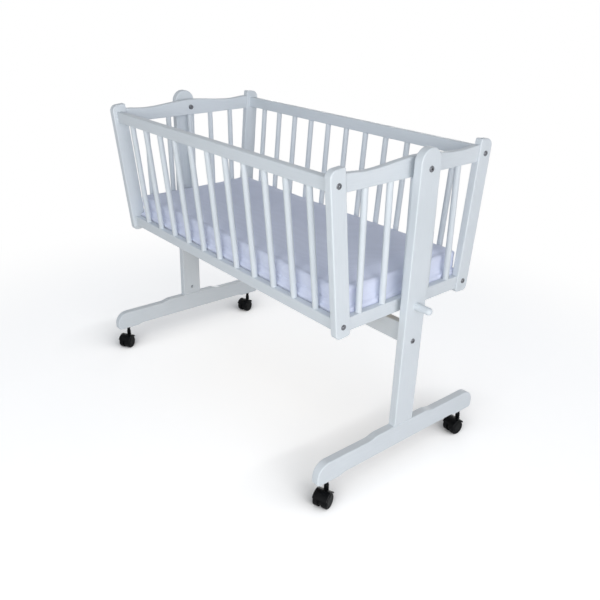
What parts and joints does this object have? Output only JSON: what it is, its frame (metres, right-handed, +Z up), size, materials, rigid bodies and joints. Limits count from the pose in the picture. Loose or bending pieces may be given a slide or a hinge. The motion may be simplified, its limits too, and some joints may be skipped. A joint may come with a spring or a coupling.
{
  "type": "swinging cradle on a stand",
  "caption": "Spindle-sided cradle with leaning sides and a mattress, swinging between two uprights on a castered stand, with a lock peg.",
  "frame": {"origin": "on the floor, at the centre of the object's bounding box seen from above", "axes": "+X along the cradle towards the end with the lock peg, +Z up, +Y across the cradle to its back"},
  "size_m": [1.0612, 0.5625, 0.8069],
  "materials": {
    "white_paint": "satin white paint over wood",
    "bare_wood": "unpainted",
    "mattress_cover": "plain matt woven cover",
    "bolt_steel": "dull zinc",
    "zinc_steel": "bright zinc",
    "black_plastic": "satin black",
    "wheel_plastic": "satin black"
  },
  "bodies": {
    "stand": {"near_upright": "white_paint", "far_upright": "white_paint", "near_foot": "white_paint", "far_foot": "white_paint", "stretcher": "white_paint", "pivot_bolts": "bolt_steel", "pivot_spacers": "zinc_steel", "pivot_washers": "zinc_steel", "pivot_nuts": "bolt_steel", "stretcher_bolts": "bolt_steel", "foot_bolts": "zinc_steel", "stand_barrel_nuts": "zinc_steel", "stand_dowels": "bare_wood", "caster_sockets": "black_plastic"},
    "cradle": {"near_front_post": "white_paint", "near_back_post": "white_paint", "far_front_post": "white_paint", "far_back_post": "white_paint", "near_top_rail": "white_paint", "near_low_rail": "white_paint", "far_top_rail": "white_paint", "far_low_rail": "white_paint", "front_top_rail": "white_paint", "front_low_rail": "white_paint", "back_top_rail": "white_paint", "back_low_rail": "white_paint", "near_spindles": "white_paint", "far_spindles": "white_paint", "front_spindles": "white_paint", "back_spindles": "white_paint", "base_board": "bare_wood", "front_batten": "bare_wood", "back_batten": "bare_wood", "mattress": "mattress_cover", "corner_bolts": "bolt_steel", "corner_barrel_nuts": "zinc_steel", "pivot_bushes": "zinc_steel"},
    "lock_peg": {"lock_peg": "white_paint"},
    "near_front_fork": {"near_front_hood": "black_plastic", "near_front_stem": "zinc_steel", "near_front_axle": "zinc_steel"},
    "near_front_wheel_a": {"near_front_wheel_a": "wheel_plastic"},
    "near_front_wheel_b": {"near_front_wheel_b": "wheel_plastic"},
    "near_back_fork": {"near_back_hood": "black_plastic", "near_back_stem": "zinc_steel", "near_back_axle": "zinc_steel"},
    "near_back_wheel_a": {"near_back_wheel_a": "wheel_plastic"},
    "near_back_wheel_b": {"near_back_wheel_b": "wheel_plastic"},
    "far_front_fork": {"far_front_hood": "black_plastic", "far_front_stem": "zinc_steel", "far_front_axle": "zinc_steel"},
    "far_front_wheel_a": {"far_front_wheel_a": "wheel_plastic"},
    "far_front_wheel_b": {"far_front_wheel_b": "wheel_plastic"},
    "far_back_fork": {"far_back_hood": "black_plastic", "far_back_stem": "zinc_steel", "far_back_axle": "zinc_steel"},
    "far_back_wheel_a": {"far_back_wheel_a": "wheel_plastic"},
    "far_back_wheel_b": {"far_back_wheel_b": "wheel_plastic"}
  },
  "joints": [
    {"name": "cradle_swing", "type": "hinge", "parent": "stand", "child": "cradle", "pos_m": [-0.01838, 0, 0.762], "axis": [1, 0, 0], "range_deg": [-16.4, 13.6]},
    {"name": "lock_peg_slide", "type": "slide", "parent": "stand", "child": "lock_peg", "axis": [1, 0, 0], "range_m": [-0.01, 0.012]},
    {"name": "near_front_swivel", "type": "hinge", "parent": "stand", "child": "near_front_fork", "pos_m": [0.47462, -0.242, 0.06], "axis": [0, 0, 1], "continuous": true},
    {"name": "near_front_wheel_a_spin", "type": "hinge", "parent": "near_front_fork", "child": "near_front_wheel_a", "pos_m": [0.48, -0.256, 0.02], "axis": [0.9336, 0.3584, 0], "continuous": true},
    {"name": "near_front_wheel_b_spin", "type": "hinge", "parent": "near_front_fork", "child": "near_front_wheel_b", "pos_m": [0.48, -0.256, 0.02], "axis": [0.9336, 0.3584, 0], "continuous": true},
    {"name": "near_back_swivel", "type": "hinge", "parent": "stand", "child": "near_back_fork", "pos_m": [0.47462, 0.242, 0.06], "axis": [0, 0, 1], "continuous": true},
    {"name": "near_back_wheel_a_spin", "type": "hinge", "parent": "near_back_fork", "child": "near_back_wheel_a", "pos_m": [0.47358, 0.22704, 0.02], "axis": [0.9976, -0.0698, 0], "continuous": true},
    {"name": "near_back_wheel_b_spin", "type": "hinge", "parent": "near_back_fork", "child": "near_back_wheel_b", "pos_m": [0.47358, 0.22704, 0.02], "axis": [0.9976, -0.0698, 0], "continuous": true},
    {"name": "far_front_swivel", "type": "hinge", "parent": "stand", "child": "far_front_fork", "pos_m": [-0.51138, -0.242, 0.06], "axis": [0, 0, 1], "continuous": true},
    {"name": "far_front_wheel_a_spin", "type": "hinge", "parent": "far_front_fork", "child": "far_front_wheel_a", "pos_m": [-0.50321, -0.25458, 0.02], "axis": [0.8387, 0.5446, 0], "continuous": true},
    {"name": "far_front_wheel_b_spin", "type": "hinge", "parent": "far_front_fork", "child": "far_front_wheel_b", "pos_m": [-0.50321, -0.25458, 0.02], "axis": [0.8387, 0.5446, 0], "continuous": true},
    {"name": "far_back_swivel", "type": "hinge", "parent": "stand", "child": "far_back_fork", "pos_m": [-0.51138, 0.242, 0.06], "axis": [0, 0, 1], "continuous": true},
    {"name": "far_back_wheel_a_spin", "type": "hinge", "parent": "far_back_fork", "child": "far_back_wheel_a", "pos_m": [-0.50674, 0.22773, 0.02], "axis": [0.9511, 0.309, 0], "continuous": true},
    {"name": "far_back_wheel_b_spin", "type": "hinge", "parent": "far_back_fork", "child": "far_back_wheel_b", "pos_m": [-0.50674, 0.22773, 0.02], "axis": [0.9511, 0.309, 0], "continuous": true}
  ]
}
